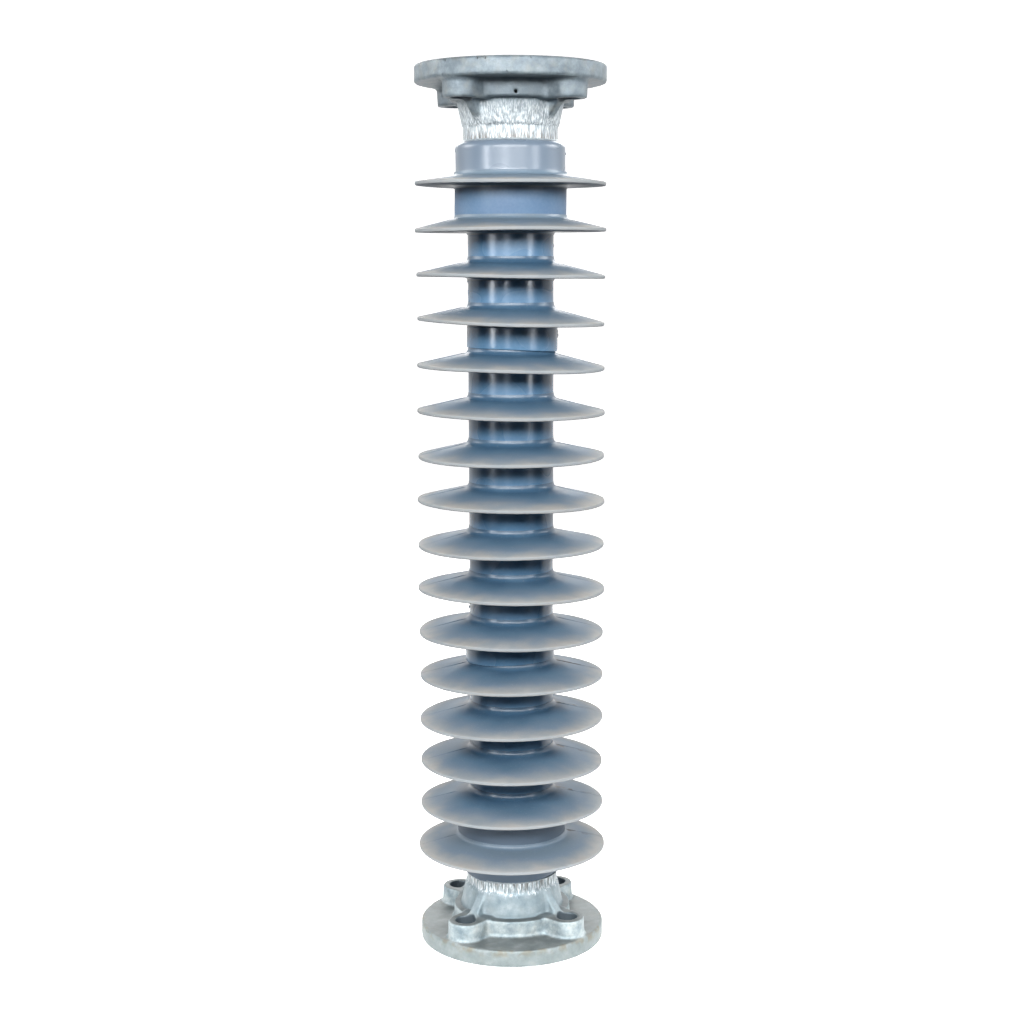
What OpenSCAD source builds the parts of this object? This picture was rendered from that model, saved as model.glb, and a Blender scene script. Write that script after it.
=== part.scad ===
// Composite station post insulator: a glass-fibre rod in a silicone rubber
// housing with sixteen sheds, bonded into a cast flange at each end.
// The post stands along +Z. The origin is the centre of the lower mounting face.

/* [Post] */
// Height between the two mounting faces
post_h = 770; // [640:10:1000]
// Diameter of the glass-fibre core rod
rod_d = 63; // [50:1:76]
// Chamfer on the cut ends of the rod
rod_chamfer = 1.5; // [0.5:0.5:3]

/* [Flanges] */
// Diameter of the round plate
plate_d = 164; // [158:1:200]
// Thickness of the round plate
plate_t = 15; // [12:1:20]
// Rounding of the plate's edges
plate_edge_r = 2.5; // [1:0.5:5]
// Diameter of the circle through the bolt holes
bolt_circle_d = 127; // [120:1:140]
// Diameter of each bolt hole
bolt_hole_d = 18; // [14:1:22]
// Number of bolt holes, each in its own lug
bolt_count = 4; // [3, 4, 6]
// Diameter of the lug around each bolt hole
lug_d = 30; // [26:1:36]
// Height of the lugs from the mounting face
lug_h = 31; // [24:1:36]
// Diameter of the hub at its top edge
hub_d = 104; // [98:1:110]
// Height of the hub from the mounting face
hub_h = 30; // [22:1:34]
// Draft that widens the hub down to the plate
hub_draft = 1.5; // [0:0.5:3]
// Radius of the fillet between the hub and the plate
hub_fillet = 4; // [2:1:6]
// Width of the ledge between the hub's edge and the shoulder
ledge_w = 6; // [3:1:8]
// Height of the shoulder and the ribs from the mounting face
shoulder_h = 51; // [45:1:60]
// Height of the raised line that ends the shoulder
step_h = 1; // [0.5:0.5:2]
// Thickness of each rib
rib_t = 8; // [5:1:12]
// Distance that each rib's foot reaches out past the hub's edge
rib_reach = 4; // [0:1:8]
// Wall of the socket that holds the rod
socket_wall = 8; // [6:0.5:10]
// Length of the socket from the mounting face
socket_len = 116; // [100:1:125]
// Thickness of metal under the end of the rod
socket_floor = 14; // [8:1:20]
// Diameter of the vent hole through the hub
vent_d = 3; // [2:0.5:5]
// Height of the vent hole from the mounting face
vent_h = 26; // [20:1:28]

/* [Bond and seals] */
// Gap between the rod and the socket that the epoxy fills
bond_gap = 1; // [0.5:0.25:2]
// Number of keying grooves in the socket
key_count = 3; // [1:1:5]
// Width of each keying groove
key_w = 6; // [3:1:10]
// Depth of each keying groove
key_depth = 1; // [0.5:0.25:2]
// Thickness of the soft pad under the cut end of the rod
pad_t = 2; // [1:0.5:4]
// Diameter of the O-ring's cord
o_ring_cord = 3.5; // [2.5:0.5:5]
// Distance from the socket's mouth to the middle of the O-ring
o_ring_inset = 8; // [5:1:12]
// Size of the sealant bead where rubber meets metal
bead = 1.6; // [1:0.2:3]

/* [Housing] */
// Wall of the silicone sheath on the rod
sheath_wall = 5.5; // [4:0.5:8]
// Wall of the silicone boot over each socket
boot_wall = 7.5; // [5:0.5:10]
// Reduction of the boot's radius above the top shed
collar_relief = 1; // [0:0.5:2]
// Length of bare socket between the upper flange and its boot
bare_upper = 64; // [60:1:75]
// Length of bare socket between the lower flange and its boot
bare_lower = 62; // [58:1:75]
// Rounding of the upper boot's lip
lip_round = 5.5; // [2:0.5:6]
// Wall of the lower boot's lip, where its taper starts
lip_wall = 1.5; // [1:0.5:3]
// Wall of the sleeves over the two joints in the sheath
sleeve_wall = 2.3; // [1.5:0.1:3]
// Gap left at the socket's mouth for the sheath to settle
mouth_gap = 0.5; // [0.3:0.1:1]

/* [Sheds] */
// Diameter of the sheds
shed_d = 163; // [140:1:200]
// Distance from the upper mounting face to the rim of the top shed
first_shed = 99; // [90:1:110]
// Distance from the lower mounting face to the rim of the bottom shed
last_shed = 85.5; // [84:0.5:100]
// Thickness of a shed at its rim
rim_t = 3; // [2:0.5:5]
// Slope of a shed's upper face in degrees
shed_slope = 14; // [8:1:20]
// Slope of the top shed, which is stretched flat over the boot
top_slope = 9; // [5:1:14]
// Fillet above a shed on the sheath
root_fillet = 5; // [3:0.5:7]
// Fillet above a shed on a boot
boot_fillet = 3; // [2:0.5:5]
// Fillet under a shed
under_fillet = 2; // [1:0.5:3]
// Thickness of the lips that grip the sheath
lip_t = 0.8; // [0.5:0.1:1.5]
// Height of the straight part of those lips
lip_h = 1; // [0.5:0.5:2]

/* [Hidden] */
$fn = 96;
shed_count = 16;
// The sheath is joined below these two sheds
joint_sheds = [4, 11];
// Tilt of each shed about Y in degrees, from being pushed on by hand
tilts = [0, 0, 0.6, 1.9, 0.9, 0.9, 0, 0.6, 0, 0.6, 0.3, -0.3, -1.1, 0.3, 0, 0];
// How far each shed's radius is from nominal
stretch = [0.7, 0.9, 0, -0.4, 0, 0.4, -0.2, 0.6, 0.2, 0.8, 0, -0.4, 0, -0.6, 0, 1.9];

rod_r = rod_d / 2;
socket_r = rod_r + bond_gap;
neck_r = socket_r + socket_wall;
mid_wall_r = socket_r + socket_wall / 2;
sheath_r = rod_r + sheath_wall;
boot_r = neck_r + boot_wall;
sleeve_r = sheath_r + sleeve_wall;
plate_r = plate_d / 2;
hub_r = max(hub_d / 2, neck_r + ledge_w + 3);
lug_r = lug_d / 2;
rod_foot = socket_floor + pad_t;
o_ring_s = socket_len - o_ring_inset;
o_ring_space = o_ring_cord + 0.5;
bond_top = o_ring_s - o_ring_space;
pitch = (post_h - first_shed - last_shed) / (shed_count - 1);
step_up = 6;
bore_over = 1;
lip_spare = 3;
// Each rib's sloping edge runs on inside the socket's wall and ends this far up
rib_rise = 5;

function shed_name(i) = str("shed_", i < 10 ? "0" : "", i);

// Points on an arc about c, from angle a to angle b
function arc(c, r, a, b, n = 8) =
    [for (i = [0:n]) c + r * [cos(a + (b - a) * i / n), sin(a + (b - a) * i / n)]];

// Height of the rim of shed i, counted from the top
function shed_z(i) = post_h - first_shed - (i - 1) * pitch;
function shed_r(i) = shed_d / 2 + stretch[i - 1];
function slope_of(i) = i == 1 ? top_slope : shed_slope;

// The first two sheds grip the upper boot above their rims, and the last one grips the
// lower boot. Below their rims the first and the last two are on a boot.
function grips_boot_above(i) = i <= 2 || i == shed_count;
function grips_boot_below(i) = i == 1 || i >= shed_count - 1;
function seat_above(i) = grips_boot_above(i) ? boot_r : sheath_r;
function seat_below(i) = grips_boot_below(i) ? boot_r : sheath_r;
function fillet_above(i) = grips_boot_above(i) ? boot_fillet : root_fillet;

// Height above the rim's middle where the upper face is r away from the axis
function upper_face(i, r) =
    rim_t / 2 / cos(slope_of(i)) + (shed_r(i) - rim_t / 2 - r) * tan(slope_of(i));
function fillet_centre(i) = let (r = seat_above(i) + lip_t + fillet_above(i))
    [r, upper_face(i, r) + fillet_above(i) / cos(slope_of(i))];
function shed_top(i) = fillet_centre(i)[1] + lip_h;
function shed_foot(i) = -rim_t / 2 - under_fillet - lip_h / 2;

// Half section of shed i with no bore, from its rim's middle. Its lips are left long.
function shed_outline(i) = let (e = rim_t / 2, c = fillet_centre(i), s = slope_of(i),
        f = fillet_above(i), low = seat_below(i) + lip_t)
    concat(
        [[0, shed_foot(i) - lip_spare], [low, shed_foot(i) - lip_spare]],
        arc([low + under_fillet, -e - under_fillet], under_fillet, 180, 90, 5),
        arc([shed_r(i) - e, 0], e, -90, 90 - s, 10),
        arc(c, f, 270 - s, 180, 8),
        [[seat_above(i) + lip_t, shed_top(i) + lip_spare], [0, shed_top(i) + lip_spare]]
    );

// Carries its children from the lower end of the post to the upper end
module at_upper_end() translate([0, 0, post_h]) mirror([0, 0, 1]) children();

module around_bolts() {
    for (i = [0:bolt_count - 1]) rotate(180 / bolt_count + i * 360 / bolt_count) children();
}

module tube(inner_r, outer_r, low, high) {
    rotate_extrude()
        polygon([[inner_r, low], [outer_r, low], [outer_r, high], [inner_r, high]]);
}

// Plate, hub, shoulder and socket of a flange, solid and turned about the axis
module flange_body() {
    foot_r = hub_r + hub_draft + hub_fillet;
    e = plate_edge_r;
    rotate_extrude() polygon(concat(
        [[0, 0]],
        arc([plate_r - e, e], e, -90, 0, 4),
        arc([plate_r - e, plate_t - e], e, 0, 90, 4),
        arc([foot_r, plate_t + hub_fillet], hub_fillet, 270, 180, 6),
        arc([hub_r - 2, hub_h - 2], 2, 0, 90, 4),
        [[hub_r - ledge_w, hub_h], [neck_r + step_h, shoulder_h - step_h],
         [neck_r + step_h, shoulder_h], [neck_r, shoulder_h + step_h],
         [neck_r, socket_len], [0, socket_len]]
    ));
}

module lugs() {
    around_bolts() linear_extrude(lug_h) {
        translate([bolt_circle_d / 2, 0]) circle(lug_r);
        translate([mid_wall_r, -lug_r]) square([bolt_circle_d / 2 - mid_wall_r, lug_d]);
    }
}

module ribs() {
    around_bolts() translate([0, rib_t / 2, 0]) rotate([90, 0, 0]) linear_extrude(rib_t)
        polygon([[mid_wall_r, plate_t / 2], [hub_r + rib_reach, plate_t / 2],
                 [hub_r + rib_reach, lug_h], [mid_wall_r, shoulder_h + rib_rise]]);
}

module bolt_holes() {
    around_bolts() translate([bolt_circle_d / 2, 0, -bore_over])
        cylinder(d = bolt_hole_d, h = lug_h + 2 * bore_over);
}

// Grooves in the socket that key the epoxy
function key_s(i) = rod_foot + (bond_top - rod_foot) * i / (key_count + 1);
module keys(r) {
    for (i = [1:key_count])
        tube(rod_r, r, key_s(i) - key_w / 2, key_s(i) + key_w / 2);
}

module flange(vent_side) {
    difference() {
        union() {
            flange_body();
            lugs();
            ribs();
        }
        translate([0, 0, socket_floor]) cylinder(r = socket_r, h = socket_len);
        keys(socket_r + key_depth);
        tube(socket_r - bond_gap / 2, rod_r + o_ring_cord, o_ring_s - o_ring_space / 2,
             o_ring_s + o_ring_space / 2);
        bolt_holes();
        rotate(vent_side) translate([socket_r - bond_gap / 2, 0, vent_h])
            rotate([0, 90, 0]) cylinder(d = vent_d, h = plate_r);
    }
}

module upper_flange() color("lightsteelblue") at_upper_end() flange(-90);
module lower_flange() color("lightsteelblue") flange(90);

module core_rod() {
    c = rod_chamfer;
    color("khaki") rotate_extrude() polygon([
        [0, rod_foot], [rod_r - c, rod_foot], [rod_r, rod_foot + c],
        [rod_r, post_h - rod_foot - c], [rod_r - c, post_h - rod_foot], [0, post_h - rod_foot]
    ]);
}

// The epoxy around the rod, with its keys
module epoxy_bond() {
    tube(rod_r, socket_r, rod_foot, bond_top);
    keys(socket_r + key_depth);
}
module upper_epoxy_bond() color("sienna") at_upper_end() epoxy_bond();
module lower_epoxy_bond() color("sienna") epoxy_bond();

module end_pad() translate([0, 0, socket_floor]) cylinder(r = socket_r, h = pad_t);
module upper_end_pad() color("dimgray") at_upper_end() end_pad();
module lower_end_pad() color("dimgray") end_pad();

module o_ring() {
    rotate_extrude() translate([rod_r + o_ring_cord / 2, o_ring_s]) circle(d = o_ring_cord);
}
module upper_o_ring() color("black") at_upper_end() o_ring();
module lower_o_ring() color("black") o_ring();

// Quarter-round bead against the socket, just outside the boot's lip
module sealant_bead(s) {
    rotate_extrude() polygon(concat([[neck_r, s]], arc([neck_r, s], bead, 0, -90, 6)));
}
module upper_sealant_bead() color("gray") at_upper_end() sealant_bead(bare_upper);
module lower_sealant_bead() color("gray") sealant_bead(bare_lower);

// Boots cover the sockets and end against a seat in the next shed
upper_boot_end = post_h - shed_z(2) - step_up;
upper_shoulder = post_h - shed_z(1) - shed_top(1);
module upper_boot() {
    r = boot_r - collar_relief;
    color("lightslategray") at_upper_end() rotate_extrude() polygon(concat(
        [[neck_r, bare_upper]],
        arc([r - lip_round, bare_upper + lip_round], lip_round, -90, 0, 8),
        [[r, upper_shoulder], [boot_r, upper_shoulder], [boot_r, upper_boot_end],
         [sheath_r, upper_boot_end], [sheath_r, socket_len], [neck_r, socket_len]]
    ));
}

lower_boot_end = shed_z(shed_count - 1) - rim_t / 2;
taper_end = shed_z(shed_count) + shed_foot(shed_count);
module lower_boot() {
    color("lightslategray") rotate_extrude() polygon([
        [neck_r, bare_lower], [neck_r + lip_wall, bare_lower], [boot_r, taper_end],
        [boot_r, lower_boot_end], [sheath_r, lower_boot_end], [sheath_r, socket_len],
        [neck_r, socket_len]
    ]);
}

// The bare sheath between shed i and the next one
function gap_top(i) = shed_z(i) + shed_foot(i);
function gap_foot(i) = shed_z(i + 1) + shed_top(i + 1);
function butt(k) = (gap_top(joint_sheds[k]) + gap_foot(joint_sheds[k])) / 2;
module sheath(low, high) color("slategray") tube(rod_r, sheath_r, low, high);
module upper_sheath() sheath(butt(0), post_h - socket_len - mouth_gap);
module middle_sheath() sheath(butt(1), butt(0));
module lower_sheath() sheath(socket_len + mouth_gap, butt(1));

module joint_sleeve(k) {
    color("steelblue")
        tube(sheath_r, sleeve_r, gap_foot(joint_sheds[k]), gap_top(joint_sheds[k]));
}
module upper_joint_sleeve() joint_sleeve(0);
module lower_joint_sleeve() joint_sleeve(1);

// A shed is tilted as a blank, then its bore and its lips' ends are cut true to the post
module shed(i) {
    trim = 2 * lip_spare;
    color("slategray") translate([0, 0, shed_z(i)]) difference() {
        rotate([0, tilts[i - 1], 0]) rotate_extrude() polygon(shed_outline(i));
        tube(0, min(seat_above(i), seat_below(i)), shed_foot(i) - trim, shed_top(i) + trim);
        tube(0, seat_above(i) + 2 * lip_t, shed_top(i), shed_top(i) + trim);
        tube(0, seat_below(i) + 2 * lip_t, shed_foot(i) - trim, shed_foot(i));
        if (seat_above(i) > seat_below(i))
            tube(0, seat_above(i), step_up, shed_top(i) + trim);
        if (seat_below(i) > seat_above(i))
            tube(0, seat_below(i), shed_foot(i) - trim, -rim_t / 2);
    }
}

core_rod();
upper_flange();
lower_flange();
upper_epoxy_bond();
lower_epoxy_bond();
upper_end_pad();
lower_end_pad();
upper_o_ring();
lower_o_ring();
upper_sealant_bead();
lower_sealant_bead();
upper_boot();
lower_boot();
upper_sheath();
middle_sheath();
lower_sheath();
upper_joint_sleeve();
lower_joint_sleeve();
for (i = [1:shed_count])
    shed(i);
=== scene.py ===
# %% [markdown]
# # A composite station post insulator
# This lesson dresses a finished CAD model of a high-voltage post insulator: a glass-fibre
# rod inside silicone rubber, with a galvanised casting at each end. The CAD holds the real
# sizes. Here each visible piece gets the surface and the finish of the real one.
#
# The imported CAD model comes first. It is a fixed frame: nothing in it is moved or reshaped,
# and every new piece takes its place from it.

# %% Load the frame
import itertools
import math

import bpy
import numpy as np
from mathutils import Matrix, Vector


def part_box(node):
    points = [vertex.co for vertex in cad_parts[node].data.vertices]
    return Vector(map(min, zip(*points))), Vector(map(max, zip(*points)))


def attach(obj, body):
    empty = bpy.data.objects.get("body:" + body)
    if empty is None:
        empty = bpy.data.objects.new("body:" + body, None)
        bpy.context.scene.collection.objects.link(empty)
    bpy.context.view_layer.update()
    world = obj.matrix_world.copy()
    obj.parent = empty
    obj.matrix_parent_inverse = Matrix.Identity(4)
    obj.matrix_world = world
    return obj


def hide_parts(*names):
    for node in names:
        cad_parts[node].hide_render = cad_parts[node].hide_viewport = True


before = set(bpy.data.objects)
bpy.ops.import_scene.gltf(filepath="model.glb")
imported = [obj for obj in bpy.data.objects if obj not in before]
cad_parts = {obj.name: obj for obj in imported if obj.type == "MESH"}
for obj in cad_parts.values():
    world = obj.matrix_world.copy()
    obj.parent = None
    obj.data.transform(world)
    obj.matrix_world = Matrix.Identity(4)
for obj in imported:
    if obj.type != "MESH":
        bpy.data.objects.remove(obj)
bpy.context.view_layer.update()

print("CAD nodes:", len(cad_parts))

# %% [markdown]
# ## Sizes
# The box of a CAD node gives its place. Turned pieces stand on the Z axis, so half of a
# box's width is a radius. The few sizes that no box shows, such as a fillet, are the
# maker's own and are written in millimetres, which is how such parts are drawn.

# %% Sizes from the frame
MM = 0.001


def span(node):
    """The radius of a round node, and its lowest and highest Z, in millimetres."""
    low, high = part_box(node)
    return (high.x - low.x) / 2 / MM, low.z / MM, high.z / MM


PLATE_R, _, SOCKET_LEN = span("lower_flange")
POST_H = span("upper_flange")[2]
ROD_R = span("core_rod")[0]
SOCKET_R = span("lower_end_pad")[0]
SHEATH_R = span("middle_sheath")[0]
BOOT_R = span("lower_boot")[0]
SOCKET_WALL = 8.0
NECK_R = SOCKET_R + SOCKET_WALL
SHEDS = [f"shed_{i:02d}" for i in range(1, 17)]
print(f"post {POST_H:.0f} mm, plate radius {PLATE_R:.0f}, sheath radius {SHEATH_R:.1f}")

# %% [markdown]
# ## From numbers to a mesh
# A grid of points becomes a mesh by joining each point to its neighbours. Doing it with
# whole numpy arrays is fast and keeps the shape's formula in one place. Rows run round the
# post and columns run along the outline, so faces look outwards when the outline is drawn
# anticlockwise, with radius to the right and height upwards.

# %% Mesh helpers
def mesh_object(name, points, quads):
    """A smooth-shaded object at the origin from points in millimetres and quads."""
    mesh = bpy.data.meshes.new(name)
    mesh.from_pydata(points * MM, [], quads.tolist())
    mesh.shade_smooth()
    piece = bpy.data.objects.new(name, mesh)
    bpy.context.scene.collection.objects.link(piece)
    return piece


def grid_quads(rows, columns, close_rows, close_columns):
    """Quads between neighbours of a rows by columns grid. A closed side joins its ends."""
    i = np.arange(rows if close_rows else rows - 1)[:, None]
    k = np.arange(columns if close_columns else columns - 1)[None, :]
    i_next, k_next = (i + 1) % rows, (k + 1) % columns
    corners = (i * columns + k, i_next * columns + k, i_next * columns + k_next,
               i * columns + k_next)
    return np.stack(corners, -1).reshape(-1, 4)


# %% [markdown]
# ## Outlines
# A moulder thinks of a section as straight walls with rounded corners. So an outline here is
# a short list of corners, each with its radius. The code swaps each corner for the arc that
# touches both walls, then adds points along the straight walls, so that small waves can be
# laid on them later.

# %% Outline with rounded corners
ARC_STEPS = 7


def corner_arc(before, corner, after, radius):
    """Points on the arc that touches both walls of a corner. The arc's centre lies on the
    line that halves the corner, radius / sin(half the angle) away from it."""
    u = (before - corner) / np.linalg.norm(before - corner)
    v = (after - corner) / np.linalg.norm(after - corner)
    half = math.acos(np.clip(u @ v, -1, 1)) / 2
    centre = corner + (u + v) / np.linalg.norm(u + v) * radius / math.sin(half)
    start, end = corner + u * radius / math.tan(half), corner + v * radius / math.tan(half)
    a = math.atan2(*(start - centre)[::-1])
    turn = (math.atan2(*(end - centre)[::-1]) - a + math.pi) % (2 * math.pi) - math.pi
    t = a + turn * np.linspace(0, 1, ARC_STEPS)
    return centre + radius * np.stack([np.cos(t), np.sin(t)], -1)


def outline(corners, spacing):
    """Closed outline through (radius, height, rounding) corners, with points on its
    straight walls no further apart than spacing."""
    places = np.array([c[:2] for c in corners], float)
    arcs = [corner_arc(places[i - 1], places[i], places[(i + 1) % len(corners)], c[2])
            for i, c in enumerate(corners)]
    stretches = []
    for arc, following in zip(arcs, arcs[1:] + arcs[:1]):
        gap = np.linalg.norm(following[0] - arc[-1])
        steps = max(int(math.ceil(gap / spacing)), 1)
        share = np.linspace(0, 1, steps + 1)[1:-1, None]
        stretches += [arc, arc[-1] + (following[0] - arc[-1]) * share]
    return np.concatenate(stretches)


# %% [markdown]
# ## Turning an outline into a ring
# Each rubber piece is a ring: its outline is carried round the Z axis. The angles aren't
# evenly spaced. They crowd together at the two sides where the halves of the mould met,
# because the thin flash line there needs fine faces and the rest doesn't.

# %% Rings
ANGLE_CROWDING = 0.42


def ring_angles(count):
    """Angles round the axis, as u - k sin 2u, which crowd at 0 and at 180 degrees."""
    u = np.linspace(0, 2 * math.pi, count, endpoint=False)
    return u - ANGLE_CROWDING * np.sin(2 * u)


def ring(name, section, change, count=240):
    """A closed ring. At angle a, a section point (r, z) goes to (r cos a, r sin a, z), after
    change(a, r, z) has given its new radius and height."""
    a = ring_angles(count)[:, None]
    r, z = change(a, section[None, :, 0] + 0 * a, section[None, :, 1] + 0 * a)
    points = np.stack([r * np.cos(a), r * np.sin(a), z], -1).reshape(-1, 3)
    return mesh_object(name, points, grid_quads(count, len(section), True, True))


# %% [markdown]
# ## What a mould leaves behind
# Hand-fitted rubber isn't perfectly round. Its walls wave by a tenth of a millimetre, which
# is what breaks up the reflections on it, and where the mould's halves met there is a line
# of flash with a few small nibs. Both are written as functions of angle and height.

# %% Waves, flash and nibs
def waves(a, z, seed, height, turns=5, pitch_mm=45.0):
    """A sum of waves round the axis. Wave n has n crests, a size of height / n, and leans
    as z rises, by a random share of a turn for each pitch_mm."""
    draw = np.random.default_rng(seed)
    total = 0.0
    for n in range(1, turns + 1):
        phase, lean = draw.uniform(0, 2 * math.pi), draw.uniform(-2, 2)
        total = total + height / n * np.cos(n * a + phase + lean * z / pitch_mm * math.pi)
    return total


def bump(distance, width):
    """A smooth hill of height 1 at distance 0, as exp(-(distance / width) squared)."""
    return np.exp(-(distance / width) ** 2)


def flash(a, r, side=0.0, width=0.45):
    """A thin line where the plane of the mould's joint cuts the surface. side turns it."""
    return bump(r * np.sin(a - side), width)


def a_wrap(a):
    """An angle brought into the range from -180 to 180 degrees."""
    return (a + math.pi) % (2 * math.pi) - math.pi


NIB_H, NIB_W = 0.9, 0.8  # half height and half width of a nib, in millimetres


def nibs(a, r, z, seed, low, high, count, size):
    """Torn stubs of flash at random heights on the mould's joint lines: hills of the given
    size, in height and round the post."""
    draw = np.random.default_rng(seed)
    total = 0.0
    for _ in range(count):
        at, where = draw.uniform(low, high), draw.choice([0.0, math.pi])
        total = total + size * bump(z - at, NIB_H) * bump(r * a_wrap(a - where), NIB_W)
    return total


# %% [markdown]
# ## Colours and nodes
# Colours are picked as sRGB hex values, as on a screen, and shaders want them linear, so one
# function converts them. A second one adds a shader node with its settings and links.

# %% Colour and node helpers
def colour(hex_code):
    """sRGB hex to linear: below 0.04045 divide by 12.92, above it the 2.4 power curve."""
    s = np.array([int(hex_code[i:i + 2], 16) / 255 for i in (1, 3, 5)])
    linear = np.where(s <= 0.04045, s / 12.92, ((s + 0.055) / 1.055) ** 2.4)
    return (*linear, 1.0)


def add(tree, kind, inputs, **settings):
    """Adds a node. inputs maps socket names or numbers to a value, or to another node's
    output socket, which is linked. settings are the node's own properties."""
    node = tree.nodes.new("ShaderNode" + kind)
    for key, value in settings.items():
        setattr(node, key, value)
    for key, value in inputs.items():
        if isinstance(value, bpy.types.NodeSocket):
            tree.links.new(value, node.inputs[key])
        else:
            node.inputs[key].default_value = value
    return node


def new_material(name, **shader):
    """A material whose Principled shader has these constant inputs."""
    material = bpy.data.materials.new(name)
    material.use_nodes = True
    tree = material.node_tree
    tree.nodes.clear()
    surface = add(tree, "BsdfPrincipled", {k.replace("_", " "): v for k, v in shader.items()})
    add(tree, "OutputMaterial", {"Surface": surface.outputs[0]})
    place = add(tree, "TexCoord", {}).outputs["Object"]
    return material, tree, surface, place


def grain(tree, place, size_mm, detail=2.0, stretch=(1, 1, 1), rough=0.5):
    """Noise whose blotches are about size_mm across, drawn out along an axis by stretch."""
    scaled = add(tree, "Mapping", {"Vector": place, "Scale": [1 / s for s in stretch]})
    return add(tree, "TexNoise", {"Vector": scaled.outputs[0], "Scale": 1 / (size_mm * MM),
                                  "Detail": detail, "Roughness": rough}).outputs["Fac"]


def remap(tree, value, low, high, to_low=0.0, to_high=1.0):
    """Stretches a value's range from low..high to to_low..to_high, and holds its ends."""
    return add(tree, "MapRange", {"Value": value, "From Min": low, "From Max": high,
                                  "To Min": to_low, "To Max": to_high}).outputs[0]


def maths(tree, operation, first, second=0.0):
    """One sum on two values."""
    return add(tree, "Math", {0: first, 1: second}, operation=operation).outputs[0]


def blend_colours(tree, share, first, second):
    """Mixes two colours, given as hex or as a socket, by share."""
    pick = [colour(c) if isinstance(c, str) else c for c in (first, second)]
    return add(tree, "Mix", {0: share, 6: pick[0], 7: pick[1]}, data_type="RGBA").outputs[2]


def ramp(tree, value, stops):
    """A colour ramp through (position, hex) stops."""
    node = add(tree, "ValToRGB", {0: value})
    band = node.color_ramp
    while len(band.elements) < len(stops):
        band.elements.new(0.5)
    for element, (position, hex_code) in zip(band.elements, stops):
        element.position, element.color = position, colour(hex_code)
    return node.outputs[0]


def add_bump(tree, surface, height, depth_mm, strength=1.0, under=None):
    """Lays a height pattern on the surface's normal, over an earlier bump if there is one."""
    inputs = {"Height": height, "Distance": depth_mm * MM, "Strength": strength}
    if under is not None:
        inputs["Normal"] = under
    node = add(tree, "Bump", inputs)
    tree.links.new(node.outputs[0], surface.inputs["Normal"])
    return node.outputs[0]


def radius_and_height(tree, place):
    """Distance from the post's axis and height, in metres, from object coordinates."""
    flat = add(tree, "VectorMath", {0: place, 1: (1, 1, 0)}, operation="MULTIPLY")
    radius = add(tree, "VectorMath", {0: flat.outputs[0]}, operation="LENGTH")
    height = add(tree, "SeparateXYZ", {0: place}).outputs["Z"]
    return radius.outputs["Value"], height


# %% [markdown]
# ## Silicone rubber
# High-voltage silicone is filled with alumina and tinted grey-blue. It is a dielectric with
# an IOR near 1.43. Fresh from the mould or die it is glossy, with a faint orange peel, so
# the sheath, the boots and the sleeves shine. Where it weathers it turns matt and pale.

# %% Moulded silicone
SILICONE_IOR = 1.43
END_BLEND = 3.0  # height over which the tint beyond an end shed comes in, in millimetres
BOOT_DULLER = 0.28  # roughness added to the boots between the end sheds
MOULD_RINGS = (16, 16, 1)  # noise drawn out sideways, so that it reads as rings


def silicone(name, dark, light, gloss, peel_mm=6.0, peel_depth=0.022, top=None, foot=None):
    """Glossy silicone: two close tints in slow blotches, with orange peel, fine rings left
    by the mould, and duller patches. top and foot are the tints beyond the first and the
    last shed."""
    material, tree, surface, place = new_material(
        name, IOR=SILICONE_IOR, Metallic=0.0)
    tint = remap(tree, grain(tree, place, 22, 3.0), 0.3, 0.7)
    fine = remap(tree, grain(tree, place, 2.2, 3.0), 0.35, 0.65)
    base = blend_colours(tree, tint, dark, light)
    base = blend_colours(tree, maths(tree, "MULTIPLY", fine, 0.02), base, "#c9ced2")
    if top:
        height = radius_and_height(tree, place)[1]
        edge_top, edge_foot = span("shed_01")[2] * MM, span("shed_15")[1] * MM
        share = remap(tree, height, edge_top - END_BLEND * MM, edge_top)
        base = blend_colours(tree, share, base, top)
        share = remap(tree, height, edge_foot + 2 * MM, edge_foot)
        base = blend_colours(tree, share, base, foot)
    tree.links.new(base, surface.inputs["Base Color"])
    dull = remap(tree, grain(tree, place, 45, 1.0), 0.25, 0.75, gloss - 0.04, gloss + 0.14)
    if top:
        matt = remap(tree, height, edge_top - END_BLEND * MM, edge_top, BOOT_DULLER, 0.0)
        dull = maths(tree, "ADD", dull, matt)
    tree.links.new(dull, surface.inputs["Roughness"])
    peel = add_bump(tree, surface, grain(tree, place, peel_mm, 2.0), peel_depth)
    add_bump(tree, surface, grain(tree, place, 1.2, 2.0, MOULD_RINGS), 0.004, under=peel)
    return material


sheath_silicone = silicone("extruded_silicone", "#496c8a", "#537593", 0.24)
sleeve_silicone = silicone("overmoulded_silicone", "#456987", "#50728f", 0.2, 9.0, 0.015)
boot_silicone = silicone("moulded_boot_silicone", "#456281", "#4b6986", 0.22,
                         top="#657382", foot="#4c5b6b")
print("glossy silicones made")
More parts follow.
